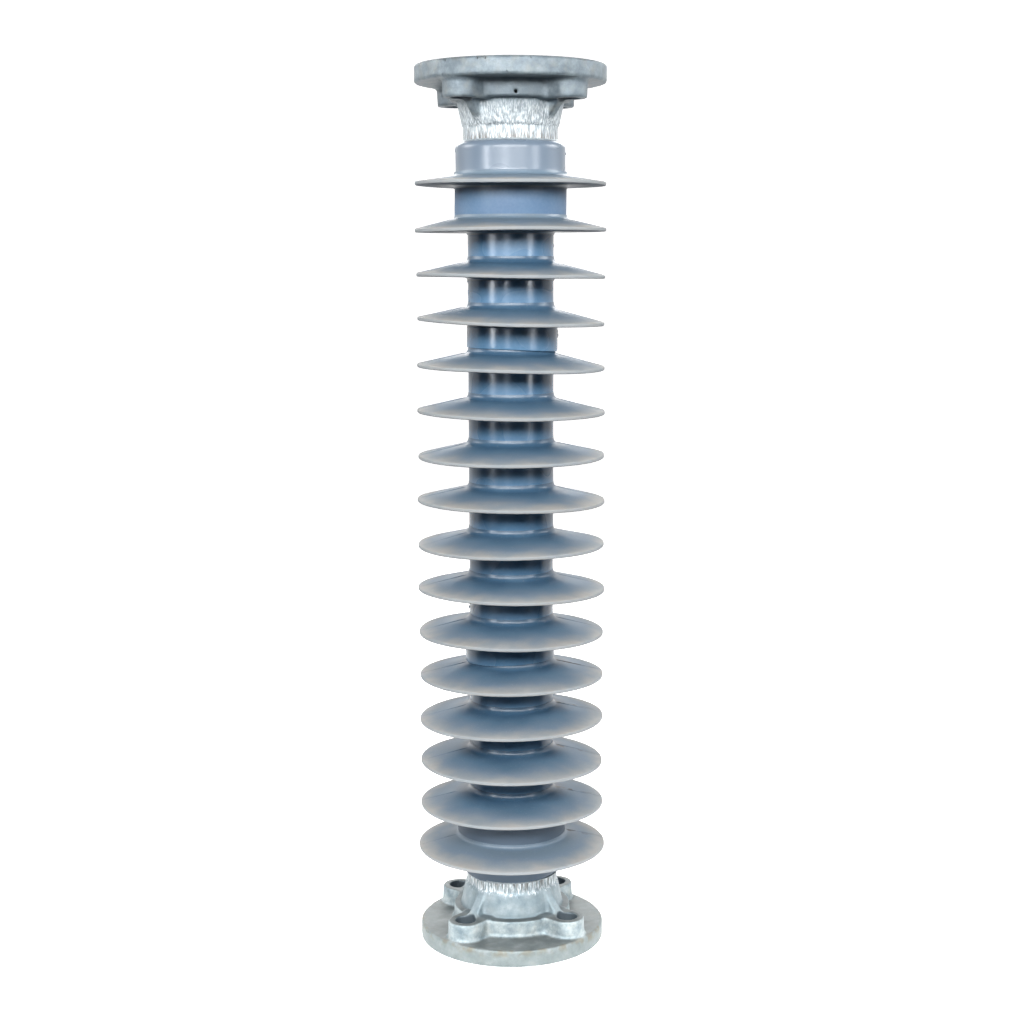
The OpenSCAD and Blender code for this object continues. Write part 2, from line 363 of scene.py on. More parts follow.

# %% [markdown]
# A shed weathers from the outside in. Near the sheath it is still blue and satin, and on the
# sheds between the boots it is painted darker there than the rubber's own blue, as painted
# shade from the shed above. Towards the rim, dust and chalky filler turn it pale and warm and
# take its shine. So colour and roughness follow the distance from the axis, pushed about by
# noise. The underside is painted dark, as painted shade, and the vertical face of the rim is
# painted lighter, as a painted highlight. The joint line of the mould holds dark dirt on the
# lower sheds.

# %% Weathered shed silicone
def shed_silicone(name, root_tint, next_tint):
    """Silicone that goes from root_tint to next_tint to chalky grey with the distance from the
    axis. Its underside is painted dark, as painted shade."""
    material, tree, surface, place = new_material(name, IOR=SILICONE_IOR, Metallic=0.0)
    radius, height = radius_and_height(tree, place)
    rim = PLATE_R * MM
    root = (SHEATH_R + 4) * MM
    cloud = remap(tree, grain(tree, place, 26, 4.0), 0.3, 0.7, -0.12, 0.12)
    outward = maths(tree, "ADD", remap(tree, radius, root, rim), cloud)
    up = add(tree, "SeparateXYZ", {0: add(tree, "TexCoord", {}).outputs["Normal"]})
    under = remap(tree, up.outputs["Z"], -0.5, -0.9)
    # Next to the sheath, a dark root_tint is painted shade from the shed above.
    base = ramp(tree, outward, [(0.0, root_tint), (0.3, next_tint), (0.6, "#617180"),
                                (0.85, "#787f84"), (1.0, "#8a8c8c")])
    warm = remap(tree, grain(tree, place, 40, 2.0), 0.45, 0.6, 0.0, 0.35)
    outer = remap(tree, outward, 0.55, 1.0)
    base = blend_colours(tree, maths(tree, "MULTIPLY", warm, outer), base, "#928b82")
    # Painted shade: faces turned down are darkened towards a dark blue-grey.
    base = blend_colours(tree, under, base, "#344250")
    # Painted highlight: near the rim, vertical faces are painted half-way to a light grey.
    upright_highlight = remap(tree, maths(tree, "ABSOLUTE", up.outputs["Z"]), 0.7, 0.5)
    edge = maths(tree, "MULTIPLY", upright_highlight, remap(tree, outward, 0.75, 0.85))
    base = blend_colours(tree, maths(tree, "MULTIPLY", edge, 0.5), base, "#80888e")
    speck = remap(tree, grain(tree, place, 1.6, 2.0), 0.6, 0.75)
    base = blend_colours(tree, maths(tree, "MULTIPLY", speck, 0.08), base, "#bfbdb7")
    base = blend_colours(tree, joint_dirt(tree, place, height), base, "#33373d")
    tree.links.new(base, surface.inputs["Base Color"])
    gloss = remap(tree, outward, 0.0, 0.7, 0.3, 0.68)
    tree.links.new(gloss, surface.inputs["Roughness"])
    chalk = add_bump(tree, surface, grain(tree, place, 3.5, 3.0), 0.05)
    add_bump(tree, surface, grain(tree, place, 1.0, 2.0), 0.015, under=chalk)
    return material


DIRTY_BELOW = 262 * MM  # only sheds lower than this hold dirt in the joint line


def joint_dirt(tree, place, height):
    """Broken dark dirt within about three millimetres of the joint line, on one side of the
    lower sheds, strongest next to the sheath."""
    parts = add(tree, "SeparateXYZ", {0: place}).outputs
    near = remap(tree, maths(tree, "ABSOLUTE", parts["Y"]), 1.5 * MM, 3.5 * MM, 1.0, 0.0)
    inner = maths(tree, "MULTIPLY", remap(tree, parts["X"], SHEATH_R * MM, (SHEATH_R + 3) * MM),
                  remap(tree, parts["X"], 66 * MM, 56 * MM, 0.25, 1.0))
    broken = remap(tree, grain(tree, place, 8, 3.0), 0.44, 0.52)
    low = remap(tree, height, DIRTY_BELOW, DIRTY_BELOW + 5 * MM, 1.0, 0.0)
    return maths(tree, "MULTIPLY", maths(tree, "MULTIPLY", near, inner),
                 maths(tree, "MULTIPLY", broken, low))


# Its first tint, darker than the sheath's blue, is painted shade from the shed above.
shed_rubber = shed_silicone("weathered_shed_silicone", "#365168", "#4b657a")
end_shed_rubber = shed_silicone("weathered_end_shed_silicone", "#5f7283", "#5e6e7b")
print("weathered silicone made")

# %% [markdown]
# ## Galvanised iron
# A hot-dip galvanised casting is rough-cast ductile iron under a tenth of a millimetre of
# zinc. Fresh zinc is a bright metal. In the weather it grows a thin pale oxide, so it looks
# like a light bluish grey with soft, cloudy reflections. The cast skin still shows through
# as fine pits. On the narrow neck the zinc ran down in streaks as the part was lifted from
# the bath, and a little rust has washed out from under the rubber.
#
# Zinc isn't one tone all over a used casting, and some tones here are laid on by place, from
# the radius and the height above the mounting face. The darker lower shoulder and the duller
# upper hub and lugs are painted shade, the lower rim is made greyer, and a brown stain runs
# along that rim's upper edge. Under other lights these tones stay, so a post that should look
# new does without them.

# %% Galvanised casting
SPANGLE_MM = 2.0


def galvanised_iron(name, tints):
    """Clouded zinc in three tints, with spangle, painted shade in the corners, the bolt holes
    and on the hub and shoulder, some dirt, and bare streaks.
    """
    material, tree, surface, place = new_material(name)
    radius, height = radius_and_height(tree, place)
    middle = POST_H / 2 * MM
    offset = maths(tree, "SUBTRACT", height, middle)
    s = maths(tree, "SUBTRACT", middle, maths(tree, "ABSOLUTE", offset))
    cloud = remap(tree, grain(tree, place, 11, 5.0, rough=0.6), 0.3, 0.7)
    base = ramp(tree, cloud, list(zip((0.0, 0.45, 1.0), tints)))
    cell = add(tree, "TexVoronoi", {"Vector": place, "Scale": 1 / (SPANGLE_MM * MM)})
    spangle = add(tree, "SeparateColor", {0: cell.outputs["Color"]}).outputs[0]
    base = blend_colours(tree, maths(tree, "MULTIPLY", spangle, 0.25), base, tints[0])
    warm = remap(tree, grain(tree, place, 9, 3.0), 0.5, 0.75, 0.0, 0.25)
    base = blend_colours(tree, warm, base, "#8f8977")
    # Painted shade, with some dirt, in the corners.
    base = blend_colours(tree, corner_shade_and_dirt(tree, place, radius, s), base, "#44555d")
    up = add(tree, "SeparateXYZ", {0: add(tree, "TexCoord", {}).outputs["Normal"]})
    settled = remap(tree, up.outputs["Z"], 0.6, 0.95, 0.0, 0.7)
    base = blend_colours(tree, settled, base, "#5e605d")
    # Painted shade inside the bolt holes.
    base = blend_colours(tree, hole_shade_share(tree, place), base, "#4f5a61")

    lower = remap(tree, offset, 1 * MM, -1 * MM)
    base = shade_and_tones_by_place(tree, base, place, radius, s, lower, tints[0])
    neck = neck_share(tree, place, radius, s, lower)
    pale = maths(tree, "MULTIPLY", neck, maths(tree, "SUBTRACT", PALE_NECK, maths(
        tree, "MULTIPLY", lower, PALE_NECK)))
    base = blend_colours(tree, pale, base, "#ccd5d9")
    flare = remap(tree, radius, (NECK_R + 1) * MM, (NECK_R + 4.5) * MM, 1.0, 0.6)
    neck = maths(tree, "MULTIPLY", neck, flare)
    run = grain(tree, place, 1.2, 4.0, stretch=(1, 1, 6), rough=0.6)
    bright = maths(tree, "MULTIPLY", remap(tree, run, 0.45, 0.64), neck)
    base = blend_colours(tree, maths(tree, "MULTIPLY", bright, 0.95), base, "#dfe6ea")
    dark = maths(tree, "MULTIPLY", remap(tree, run, 0.45, 0.36), neck)
    base = blend_colours(tree, maths(tree, "MULTIPLY", dark, 0.25), base, "#505e6b")
    base = blend_colours(tree, rust_share(tree, place, height, neck), base, "#53483d")
    tree.links.new(base, surface.inputs["Base Color"])

    tree.links.new(remap(tree, cloud, 0, 1, 0.45, 0.25), surface.inputs["Metallic"])
    tree.links.new(remap(tree, cloud, 0, 1, 0.44, 0.6), surface.inputs["Roughness"])
    skin = add_bump(tree, surface, grain(tree, place, 5, 4.0, rough=0.65), 0.25)
    pits = add_bump(tree, surface, grain(tree, place, 1.2, 3.0), 0.12, under=skin)
    add_bump(tree, surface, maths(tree, "MULTIPLY", run, neck), 0.06, under=pits)
    return material


def shade_and_tones_by_place(tree, base, place, radius, s, lower, dull):
    """The base colour, darkened towards dull on the lower shoulder and on the upper hub and
    lugs as painted shade, greyer on the lower rim, and stained brown along that rim's upper
    edge."""
    # Painted shade on the lower shoulder.
    shoulder = maths(tree, "MULTIPLY", lower, remap(tree, radius, 56 * MM, 52 * MM, 0.0, 0.6))
    shoulder = maths(tree, "MULTIPLY", shoulder, remap(tree, s, 29 * MM, 33 * MM))
    base = blend_colours(tree, shoulder, base, dull)
    # Painted shade on the upper hub and lugs, under the plate.
    hub = maths(tree, "MULTIPLY", remap(tree, radius, 56 * MM, 53 * MM, 0.3, 0.75),
                remap(tree, s, 32 * MM, 29 * MM))
    hub = maths(tree, "MULTIPLY", hub, remap(tree, radius, 80 * MM, 78 * MM))
    hub = maths(tree, "MULTIPLY", hub, remap(tree, s, 11 * MM, 15 * MM))
    hub = maths(tree, "MULTIPLY", hub, maths(tree, "SUBTRACT", 1.0, lower))
    base = blend_colours(tree, hub, base, dull)
    rim = maths(tree, "MULTIPLY", remap(tree, radius, 80 * MM, 81.5 * MM, 0.0, 0.7), lower)
    base = blend_colours(tree, rim, base, "#6f7776")
    stain = maths(tree, "MULTIPLY", remap(tree, radius, 79 * MM, 81 * MM),
                  remap(tree, grain(tree, place, 9, 4.0), 0.46, 0.62))
    stain = maths(tree, "MULTIPLY", stain, remap(tree, s, 8 * MM, 12 * MM, 0.0, 0.5))
    return blend_colours(tree, maths(tree, "MULTIPLY", stain, lower), base, "#6e634a")


def neck_share(tree, place, radius, s, lower):
    """One where the neck is streaked: near the neck's radius, and no further from the
    rubber than a ragged limit, which is short on the lower flange."""
    start = remap(tree, lower, 0, 1, (NECK_R + 6) * MM, (NECK_R + 3) * MM)
    neck = remap(tree, maths(tree, "SUBTRACT", start, radius), 0.0, 2.5 * MM)
    reach = remap(tree, lower, 0, 1, UPPER_STREAKS * MM, LOWER_STREAKS * MM)
    from_rubber = maths(tree, "SUBTRACT", span("lower_boot")[1] * MM, s)
    ragged = remap(tree, grain(tree, place, 4.0, 3.0, stretch=(1, 1, 2)), 0.3, 0.7,
                   -4 * MM, 4 * MM)
    left = maths(tree, "SUBTRACT", maths(tree, "ADD", reach, ragged), from_rubber)
    return maths(tree, "MULTIPLY", neck, remap(tree, left, 0.0, 3 * MM))


def corner_shade_and_dirt(tree, place, radius, s):
    """Painted shade on the ledge round the shoulder, and painted shade with some dirt in broken
    patches where the hub and the plate meet. s is the height above the mounting face."""
    above = remap(tree, s, 27.5 * MM, 30 * MM)
    below = remap(tree, s, 31 * MM, 34 * MM, 1.0, 0.0)
    ledge = maths(tree, "MULTIPLY", maths(tree, "MULTIPLY", above, below),
                  remap(tree, radius, 53 * MM, 51 * MM))
    low = remap(tree, s, 15.5 * MM, 19 * MM, 1.0, 0.0)
    patch = remap(tree, grain(tree, place, 16, 4.0), 0.42, 0.62)
    root = maths(tree, "MULTIPLY", maths(tree, "MULTIPLY", low, patch),
                 remap(tree, radius, 80 * MM, 66 * MM, 0.15, 0.6))
    return maths(tree, "MAXIMUM", maths(tree, "MULTIPLY", ledge, 0.75), root)


def hole_shade_share(tree, place):
    """One inside the bolt holes, which are painted darker as painted shade, and zero outside.
    """
    side = add(tree, "VectorMath", {0: place}, operation="ABSOLUTE").outputs[0]
    at = BOLT_CIRCLE_R / math.sqrt(2) * MM
    off = add(tree, "VectorMath", {0: side, 1: (at, at, 0)}, operation="SUBTRACT").outputs[0]
    flat = add(tree, "VectorMath", {0: off, 1: (1, 1, 0)}, operation="MULTIPLY").outputs[0]
    away = add(tree, "VectorMath", {0: flat}, operation="LENGTH").outputs["Value"]
    return remap(tree, away, 9.6 * MM, 9.1 * MM)


UPPER_STREAKS, LOWER_STREAKS = 40.0, 13.0  # how far from the rubber each neck is streaked
PALE_NECK = 0.27  # how much paler the upper neck is between its streaks
RUST_BAND = 12.0  # how far rust has washed out from under the rubber, in millimetres


def rust_share(tree, place, height, neck):
    """Brown streaks on the neck that fade away from the rubber at either end."""
    lower_edge, upper_edge = span("lower_boot")[1], span("upper_boot")[2]
    middle = POST_H / 2
    low = remap(tree, height, (lower_edge - RUST_BAND) * MM, lower_edge * MM)
    low = maths(tree, "MULTIPLY", low,
                remap(tree, height, middle * MM, (middle + 1) * MM, 1.0, 0.0))
    high = remap(tree, height, (upper_edge + RUST_BAND) * MM, upper_edge * MM)
    high = maths(tree, "MULTIPLY", high, remap(tree, height, middle * MM, (middle + 1) * MM))
    streak = remap(tree, grain(tree, place, 2.0, 3.0, stretch=(1, 1, 6)), 0.46, 0.56)
    near = maths(tree, "MULTIPLY", maths(tree, "ADD", low, high), 0.8)
    return maths(tree, "MULTIPLY", maths(tree, "MULTIPLY", streak, neck), near)


BOLT_CIRCLE_R = 63.5
# The upper flange's tints are darker than the lower one's: painted shade, for it hangs in the
# shade of its own plate.
upper_zinc = galvanised_iron("weathered_galvanised_iron", ("#4c575e", "#636f77", "#828d92"))
lower_zinc = galvanised_iron("lower_galvanised_iron", ("#687880", "#909da1", "#b8c1c3"))
print("galvanised iron made")

# %% [markdown]
# ## Inside materials
# Nobody sees the rod until the post is taken apart, but it is a real piece with a real
# finish. Pultruded glass fibre is a straw-coloured epoxy full of straight glass rovings, so
# it gets long streaks along Z. The bond is an amber filled epoxy, the O-rings are black
# nitrile, and the pads and the sealant are plain silicone.

# %% Rod, bond and seals
def plain_material(name, dark, light, size_mm, roughness, ior, stretch=(1, 1, 1), depth=0.03):
    """Two tints in noise of one size, with a bump of the same noise."""
    material, tree, surface, place = new_material(name, IOR=ior, Roughness=roughness)
    pattern = grain(tree, place, size_mm, 3.0, stretch)
    base = blend_colours(tree, remap(tree, pattern, 0.35, 0.65), dark, light)
    tree.links.new(base, surface.inputs["Base Color"])
    add_bump(tree, surface, pattern, depth)
    return material


glass_fibre = plain_material("pultruded_glass_fibre", "#a89f63", "#d3cb95", 0.8, 0.35, 1.54,
                             stretch=(1, 1, 60))
bond_epoxy = plain_material("filled_epoxy", "#7a5a34", "#9c7a4c", 2.5, 0.42, 1.55)
pad_silicone = plain_material("cut_silicone_sheet", "#2f3133", "#47494c", 1.5, 0.6, 1.43)
nitrile = plain_material("moulded_nitrile", "#0d0d0e", "#1c1c1e", 1.2, 0.5, 1.52)
sealant = plain_material("cured_silicone_sealant", "#7b858c", "#9aa3a8", 1.8, 0.45, 1.41)
INSIDE = {"core_rod": glass_fibre, "epoxy_bond": bond_epoxy, "end_pad": pad_silicone,
          "o_ring": nitrile}
for node, cad_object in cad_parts.items():
    kind = node.removeprefix("upper_").removeprefix("lower_")
    if kind in INSIDE:
        for part_slot in cad_object.material_slots:
            part_slot.material = INSIDE[kind]
print("inside nodes finished")


# %% Hand a piece over to the frame
def stand_for(piece, node, material):
    """The piece takes the place of a CAD node, rides on the post and gets its finish."""
    piece.data.materials.append(material)
    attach(piece, "root")
    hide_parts(node)
    print(node, "->", piece.name, len(piece.data.polygons), "faces")
    return piece


# %% [markdown]
# ## Sheds
# Sixteen thin skirts keep rain and dirt from bridging the post. Each was moulded alone,
# pushed along the sheath by hand and vulcanised there, so none sits quite true. The section
# is a sloping upper face, a blunt rim, a flat underside and a lip above and below that grips
# what the shed sits on. The box of the CAD node fixes its top, and the outline hangs down
# from there.
#
# A tilt is done by shearing: each point drops by its X times the tangent of the tilt. The
# lip at the bore stays square to the post, because the shear fades out there.

# %% Shed shape
RIM_T = 3.0
SLOPE, TOP_SLOPE = math.radians(14), math.radians(9)
ROOT_FILLET, BOOT_FILLET, UNDER_FILLET = 5.0, 3.0, 2.0
LIP_T, LIP_H, LIP_EDGE, LIP_FEATHER = 0.8, 1.0, 0.1, 0.25
SEAT_STEP = 6.0
TILTS = [0, 0, 0.6, 1.9, 0.9, 0.9, 0, 0.6, 0, 0.6, 0.3, -0.3, -1.1, 0.3, 0, 0]
DISC_WAVES = 0.42
FLASH_H = 0.4


def shed_section(index, rim_r):
    """Corners of a shed's half section, with the middle of its rim at height 0. Returns
    them with the height of its top and the larger radius of its two seats."""
    above = BOOT_R if index in (0, 1, 15) else SHEATH_R
    below = BOOT_R if index in (0, 14, 15) else SHEATH_R
    slope = TOP_SLOPE if index == 0 else SLOPE
    fillet = BOOT_FILLET if above == BOOT_R else ROOT_FILLET
    e = RIM_T / 2
    lip_up, lip_down = above + LIP_T, below + LIP_T

    def face(r):
        return e / math.cos(slope) + (rim_r - e - r) * math.tan(slope)

    top = face(lip_up + fillet) + fillet / math.cos(slope) + LIP_H
    foot = -e - UNDER_FILLET - LIP_H / 2
    bore = min(above, below)
    corners = [(bore, foot, LIP_EDGE), (lip_down, foot, LIP_EDGE),
               (lip_down, -e, UNDER_FILLET), (rim_r, -e, 1.2),
               (rim_r, face(rim_r) + 0.35, 1.1), (lip_up, face(lip_up), fillet),
               (above + LIP_FEATHER, top, LIP_EDGE), (bore, top, LIP_EDGE)]
    if above > below:
        corners[-1:] = [(above, top, 0.2), (above, SEAT_STEP, 0.2), (bore, SEAT_STEP, 0.2)]
    if below > above:
        corners[:1] = [(bore, -e, 0.2), (below, -e, 0.2), (below, foot, 0.2)]
    return corners, top, max(above, below)


def make_shed(index):
    """One shed, hung from the top of its CAD node's box and tilted about its bore."""
    node = SHEDS[index]
    radius, _, highest = span(node)
    tilt = math.radians(TILTS[index])
    rim_r = radius / math.cos(tilt)
    corners, top, seat = shed_section(index, rim_r)
    draw = np.random.default_rng(100 + index)
    side = draw.normal(0, math.radians(2.5))

    def settle(a, r, z):
        """Tilts the disc, waves it more towards the rim, and adds the flash line."""
        out = np.clip((r - seat - LIP_T) / (rim_r - seat), 0, 1)
        free = np.clip(out * 8, 0, 1)
        sway = waves(a, 0, 200 + index, DISC_WAVES, 4) * out ** 1.3
        line = flash(a, r, side) * np.clip(z / 0.8, 0, 1) * free * FLASH_H
        drop = r * np.cos(a) * math.tan(tilt) * free
        new_r = r + waves(a, 0, 300 + index, 0.12, 5) * out
        return new_r, z + highest - top + sway + line - drop

    return ring(node + "_skirt", outline(corners, 2.6), settle)


for index, node in enumerate(SHEDS):
    on_boot = index in (0, 1, 15)
    stand_for(make_shed(index), node, end_shed_rubber if on_boot else shed_rubber)

# %% [markdown]
# ## Sheath
# Between the sheds the rod wears an extruded rubber tube in three lengths. Its wall waves a
# little, and the joint of the curing mould left a faint line with nibs on both sides. Two
# short sleeves cover the butts between the lengths. They are made thicker on one side, as if
# the rubber had flowed that way, and they are the glossiest rubber on the post.

# %% Sheath lengths and joint sleeves
def make_sheath(node, seed):
    """A length of tube whose bore is the rod."""
    radius, low, high = span(node)
    corners = [(ROD_R, low, 0.2), (radius, low, 0.2), (radius, high, 0.2),
               (ROD_R, high, 0.2)]

    def settle(a, r, z):
        """Waves the outer wall and lays flash and nibs on it."""
        outer = r > (ROD_R + radius) / 2
        line = 0.12 * flash(a, r) + nibs(a, r, z, seed, low, high, 9, 0.9)
        return r + outer * (waves(a, z, seed, 0.06) + line), z

    return ring(node + "_tube", outline(corners, 2.2), settle)


FOOT_RUN, FOOT_H = 3.6, 6.0  # how far a sleeve's foot runs down, and how much of it moves
SLEEVE_SHIFT = {"upper_joint_sleeve": 1.3, "lower_joint_sleeve": -1.3}


def make_sleeve(node, seed):
    """A short tube over the sheath, with its outer wall off centre."""
    radius, low, high = span(node)
    corners = [(SHEATH_R, low, 0.2), (radius, low, 0.5), (radius, high, 0.5),
               (SHEATH_R, high, 0.2)]

    def settle(a, r, z):
        """Pushes the outer wall to one side by r + shift cos a, waves it, and lets its
        foot run down over the shed's lip on the thick side."""
        outer = r > SHEATH_R + 0.3
        thick = (1 + np.sign(SLEEVE_SHIFT[node]) * np.cos(a)) / 2
        z = z - outer * FOOT_RUN * thick ** 2 * np.clip((low + FOOT_H - z) / FOOT_H, 0, 1)
        shift = SLEEVE_SHIFT[node] * np.cos(a)
        line = 0.25 * flash(a, r) + nibs(a, r, z, seed, low + 8, high, 3, 0.8)
        return r + outer * (shift + waves(a, z, seed, 0.1, 3) + line), z

    return ring(node + "_band", outline(corners, 1.5), settle)


for seed, node in enumerate(["upper_sheath", "middle_sheath", "lower_sheath"], 10):
    stand_for(make_sheath(node, seed), node, sheath_silicone)
for seed, node in enumerate(["upper_joint_sleeve", "lower_joint_sleeve"], 20):
    stand_for(make_sleeve(node, seed), node, sleeve_silicone)

# %% [markdown]
# ## Boots and sealant
# A thick rubber boot covers each socket. The upper one ends in a rounded collar, and the
# lower one thins to a skirt whose edge crept unevenly over the metal. A bead of sealant
# closes the joint between rubber and zinc.

# %% Boots and sealant beads
LIP_ROUND = 5.5
COLLAR_RELIEF = 1.0
LIP_WALL = 1.5


def make_upper_boot():
    """A sleeve over the socket and the rod, with a slimmer collar above the first shed."""
    _, low, high = span("upper_boot")
    mouth = POST_H - SOCKET_LEN
    collar_r = BOOT_R - COLLAR_RELIEF
    shoulder = span("shed_01")[2]
    corners = [(SHEATH_R, low, 0.2), (BOOT_R, low, 0.2), (BOOT_R, shoulder, 0.3),
               (collar_r, shoulder, 0.3), (collar_r, high, LIP_ROUND), (NECK_R, high, 0.2),
               (NECK_R, mouth, 0.2), (SHEATH_R, mouth, 0.2)]

    def settle(a, r, z):
        """Waves the outer wall and lays flash and two stubs on it."""
        outer = r > NECK_R + 1.5
        line = 0.3 * flash(a, r, 0.05, 0.7)
        stub = nibs(a, r, z, 33, high - 12, high - 6, 2, 1.3)
        return r + outer * (waves(a, z, 31, 0.1) + line + stub), z

    return ring("upper_boot_collar", outline(corners, 2.0), settle)


def make_lower_boot():
    """A sleeve over the socket and the rod that thins to a skirt below the last shed."""
    _, low, high = span("lower_boot")
    taper_end = span("shed_16")[1]
    corners = [(NECK_R, low, 0.2), (NECK_R + LIP_WALL, low, 0.6), (BOOT_R, taper_end, 6.0),
               (BOOT_R, high, 0.2), (SHEATH_R, high, 0.2), (SHEATH_R, SOCKET_LEN, 0.2),
               (NECK_R, SOCKET_LEN, 0.2)]

    def settle(a, r, z):
        """Waves the wall, and lets the lower edge wander up and down on the metal."""
        outer = r > NECK_R + 1
        near_edge = bump(z - low, 4.0)
        creep = (waves(a, 0, 41, 0.8, 9) + 0.35 * np.sin(31 * a) * np.cos(17 * a)) * near_edge
        return r + outer * (waves(a, z, 42, 0.1) + 0.3 * flash(a, r)), z + creep

    return ring("lower_boot_skirt", outline(corners, 2.0), settle)


def make_bead(node, seed):
    """A three-sided fillet, widest where it touches the rubber."""
    outer_r, low, high = span(node)
    size = outer_r - NECK_R
    upward = node.startswith("upper")
    touch = low if upward else high
    free = high if upward else low
    corners = [(NECK_R - 0.3, low, 0.1), (NECK_R + (size if upward else 0.2), low, 0.1),
               (NECK_R + (0.2 if upward else size), high, 0.1), (NECK_R - 0.3, high, 0.1)]

    def settle(a, r, z):
        """Swells the bead to a quarter round and lets its free side wander."""
        middle = bump(z - (low + high) / 2, size * 0.6) * (r > NECK_R)
        away = np.abs(z - touch) / abs(free - touch)
        return r + 0.35 * middle, z + waves(a, 0, seed, 0.35, 7) * away

    return ring(node + "_fillet", outline(corners, 0.4), settle)


stand_for(make_upper_boot(), "upper_boot", boot_silicone)
stand_for(make_lower_boot(), "lower_boot", boot_silicone)
for seed, node in enumerate(["upper_sealant_bead", "lower_sealant_bead"], 50):
    stand_for(make_bead(node, seed), node, sealant)

# %% [markdown]
# ## Flanges
# A casting has no sharp corners: the plate, hub, lugs and ribs flow into each other through
# fillets. A grid carried round the axis can't follow four lugs and four ribs, so this piece
# is made another way. Each simple shape is written as a distance, negative inside. Two
# distances are joined with a smooth minimum, which is a fillet, and cut with a smooth
# maximum, which is a worn edge. Then a net of points is pulled onto the surface where the
# distance is zero.

# %% Distances to simple shapes
def soft_join(first, second, k):
    """Union with a fillet of about k: the smaller distance, less k h (1 - h) where the two
    are within k of each other."""
    h = np.clip(0.5 + 0.5 * (second - first) / k, 0, 1)
    return second + (first - second) * h - k * h * (1 - h)


def soft_cut(body, tool, k):
    """The body without the tool, with an edge of about k."""
    return -soft_join(-body, tool, k)


def prism(side, s, low, high, edge):
    """Distance to a shape of constant section from its section's distance, with rounded
    edges: the distance to a box in (side, height)."""
    across = side + edge
    along = np.abs(s - (low + high) / 2) - (high - low) / 2 + edge
    outside = np.hypot(np.maximum(across, 0), np.maximum(along, 0))
    return outside + np.minimum(np.maximum(across, along), 0) - edge


# %% Distance to the casting
PLATE_T, HUB_R, HUB_H, LEDGE_W = 15.0, 52.0, 30.0, 6.0
SHOULDER_H, SHOULDER_STEP = 51.0, 1.0
BOLT_R, HOLE_R, LUG_R, LUG_H = 63.5, 9.0, 15.0, 31.0
RIB_HALF, RIB_FOOT, RIB_ROOT = 4.0, 56.0, (36.5, 56.0)
SOCKET_FLOOR = 14.0
VENT_R, VENT_H = 1.5, 26.0
HUB_START, SHOULDER_START = 6.0, 5.0  # inside the plate, so that no two faces coincide
PLATE_EDGE, CAST_EDGE, THIN_EDGE = 2.2, 1.6, 0.8
HUB_FILLET, LUG_FILLET, SHOULDER_FILLET, NECK_FILLET, RIB_FILLET = 5.0, 4.0, 1.6, 1.2, 3.0
DRAFT = 0.05  # how far a cast wall leans back for each millimetre of its height


def casting(p, vent, seed):
    """Distance from points p = (x, y, height above the mounting face), in millimetres: plate,
    hub, lugs, shoulder, neck and ribs joined in that order, then the skin's unevenness, then
    the bolt holes, the bore and the vent cut out. Lugs and ribs are drawn once, and the angle
    is folded into a quarter turn to make four of each."""
    x, y, s = p[..., 0], p[..., 1], p[..., 2]
    r = np.hypot(x, y)
    angle = (np.arctan2(y, x) % (math.pi / 2)) - math.pi / 4
    u, v = r * np.cos(angle), np.abs(r * np.sin(angle))

    body = prism(r - PLATE_R, s, 0, PLATE_T, PLATE_EDGE)
    hub = prism(r - HUB_R - DRAFT * (HUB_H - s), s, HUB_START, HUB_H, CAST_EDGE)
    body = soft_join(body, hub, HUB_FILLET)
    lug_side = np.hypot(np.maximum(u - BOLT_R, 0), v) - LUG_R - DRAFT * (LUG_H - s)
    lug = prism(lug_side, s, HUB_START, LUG_H, CAST_EDGE)
    body = soft_join(body, lug, LUG_FILLET)

    rise = np.clip((s - HUB_H) / (SHOULDER_H - HUB_H), -0.2, 1)
    shoulder_r = (HUB_R - LEDGE_W) * (1 - rise) + (NECK_R + SHOULDER_STEP) * rise
    shoulder = prism(r - shoulder_r, s, SHOULDER_START, SHOULDER_H, THIN_EDGE)
    body = soft_join(body, shoulder, SHOULDER_FILLET)
    neck = prism(r - NECK_R, s, SHOULDER_START, SOCKET_LEN, THIN_EDGE)
    body = soft_join(body, neck, NECK_FILLET)

    run, climb = RIB_FOOT - RIB_ROOT[0], RIB_ROOT[1] - LUG_H
    slope = ((s - LUG_H) * run + (u - RIB_FOOT) * climb) / math.hypot(run, climb)
    rib_side = v - RIB_HALF - DRAFT * (SHOULDER_H - s)
    rib = soft_cut(np.maximum(rib_side, SHOULDER_START - s), -slope, 2.0)
    body = soft_join(body, rib, RIB_FILLET)

    body = body - skin_waves(x, y, s, seed) * np.clip(s / 3, 0, 1) * (s < SHOULDER_H + 14)
    body = soft_cut(body, np.hypot(u - BOLT_R, v) - HOLE_R, 1.2)
    bore = prism(r - SOCKET_R, s, SOCKET_FLOOR, SOCKET_LEN + 20, 0.5)
    body = soft_cut(body, bore, 0.6)
    along = x * math.cos(vent) + y * math.sin(vent)
    hole = np.hypot(y * math.cos(vent) - x * math.sin(vent), s - VENT_H) - VENT_R
    return soft_cut(body, np.maximum(hole, SOCKET_R - 2 - along), 0.5)


def skin_waves(x, y, s, seed):
    """Unevenness of the cast and dipped skin: products of slow sines, 0.2 mm high."""
    draw = np.random.default_rng(seed)
    total = 0.0
    for wavelength in (34.0, 21.0, 13.0):
        turn = draw.uniform(0, 2 * math.pi, 3)
        k = 2 * math.pi / wavelength
        total = total + np.sin(k * x + turn[0]) * np.sin(k * y + turn[1]) * np.cos(
            k * s + turn[2])
    return 0.09 * total


# %% [markdown]
# The net works on a grid of cubes. A cube with corners on both sides of the surface gets one
# point. It starts in the cube's middle and slides along the slope of the distance until the
# distance is zero. Each edge of the grid that crosses the surface then joins the points of
# the four cubes around it into a quad.

# %% Net over a distance
NET_SLIDES, NET_PROBE, NET_REACH = 6, 0.02, 0.7  # the last two as shares of a cube
FLATTEST = 0.2  # least squared slope, so that no point is thrown far


